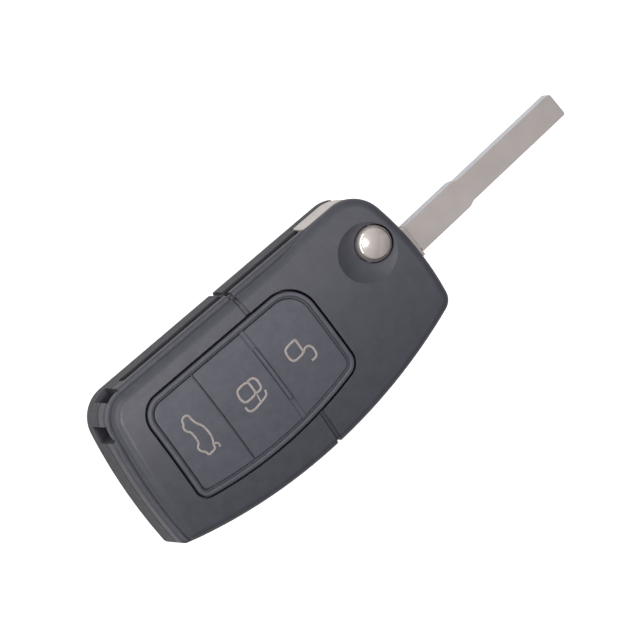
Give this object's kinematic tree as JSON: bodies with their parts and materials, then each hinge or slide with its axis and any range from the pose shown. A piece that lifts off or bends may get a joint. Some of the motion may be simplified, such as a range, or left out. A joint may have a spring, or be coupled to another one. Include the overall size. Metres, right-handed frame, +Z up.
{
  "type": "flip key",
  "caption": "Folding car key: a black two-part casing with a soft keypad, a keyring passage through one corner, a chrome release button in a thumb dish and an uncut blade",
  "frame": {"origin": "centre of the casing's rear face, which the key lies on", "axes": "+X along the casing towards the open blade, +Y towards the straight side with the blade slot, +Z up through the face with the keys"},
  "size_m": [0.118, 0.038, 0.0163],
  "materials": {
    "casing_plastic": "fine satin texture",
    "key_rubber": "soft matte",
    "button_chrome": "polished",
    "hub_metal": "cast, satin plated",
    "blade_steel": "satin, fine blasted",
    "spring_steel": "drawn wire",
    "screw_steel": "dark zinc plated",
    "board_laminate": "solder mask",
    "switch_plastic": "moulded",
    "plunger_plastic": "moulded",
    "cell_steel": "nickel plated",
    "contact_steel": "nickel plated sheet",
    "chip_resin": "moulded resin",
    "can_metal": "drawn can"
  },
  "bodies": {
    "casing": {"head_front_shell": "casing_plastic", "head_rear_shell": "casing_plastic", "remote_front_shell": "casing_plastic", "remote_rear_cover": "casing_plastic", "head_screw": "screw_steel", "transponder_chip": "chip_resin", "keypad_frame": "key_rubber", "circuit_board": "board_laminate", "unlock_switch": "switch_plastic", "lock_switch": "switch_plastic", "boot_switch": "switch_plastic", "coin_cell": "cell_steel", "positive_contact": "contact_steel", "negative_contact": "contact_steel", "transmitter_chip": "chip_resin", "crystal_can": "can_metal"},
    "blade": {"blade_hub": "hub_metal", "key_blade": "blade_steel", "blade_roll_pin": "spring_steel", "button_spring": "spring_steel"},
    "release": {"release_button": "button_chrome"},
    "unlock_key": {"unlock_button": "key_rubber", "unlock_plunger": "plunger_plastic"},
    "lock_key": {"lock_button": "key_rubber", "lock_plunger": "plunger_plastic"},
    "boot_key": {"boot_button": "key_rubber", "boot_plunger": "plunger_plastic"}
  },
  "joints": [
    {"name": "blade_flip", "type": "hinge", "parent": "casing", "child": "blade", "pos_m": [0.03072, 0.00815, 0.0085], "axis": [0, 0, 1], "range_deg": [0, 177.25], "stiffness_Nm_per_rad": 0.008, "springref_deg": -34.38},
    {"name": "release_press", "type": "slide", "parent": "casing", "child": "release", "axis": [0, 0, -1], "range_m": [0, 0.002], "stiffness_N_per_m": 900, "springref_m": -0.002, "deforming": ["button_spring"]},
    {"name": "unlock_press", "type": "slide", "parent": "casing", "child": "unlock_key", "axis": [0, 0, -1], "range_m": [0, 0.0004], "stiffness_N_per_m": 2500, "springref_m": -0.0002},
    {"name": "lock_press", "type": "slide", "parent": "casing", "child": "lock_key", "axis": [0, 0, -1], "range_m": [0, 0.0004], "stiffness_N_per_m": 2500, "springref_m": -0.0002},
    {"name": "boot_press", "type": "slide", "parent": "casing", "child": "boot_key", "axis": [0, 0, -1], "range_m": [0, 0.0004], "stiffness_N_per_m": 2500, "springref_m": -0.0002}
  ]
}
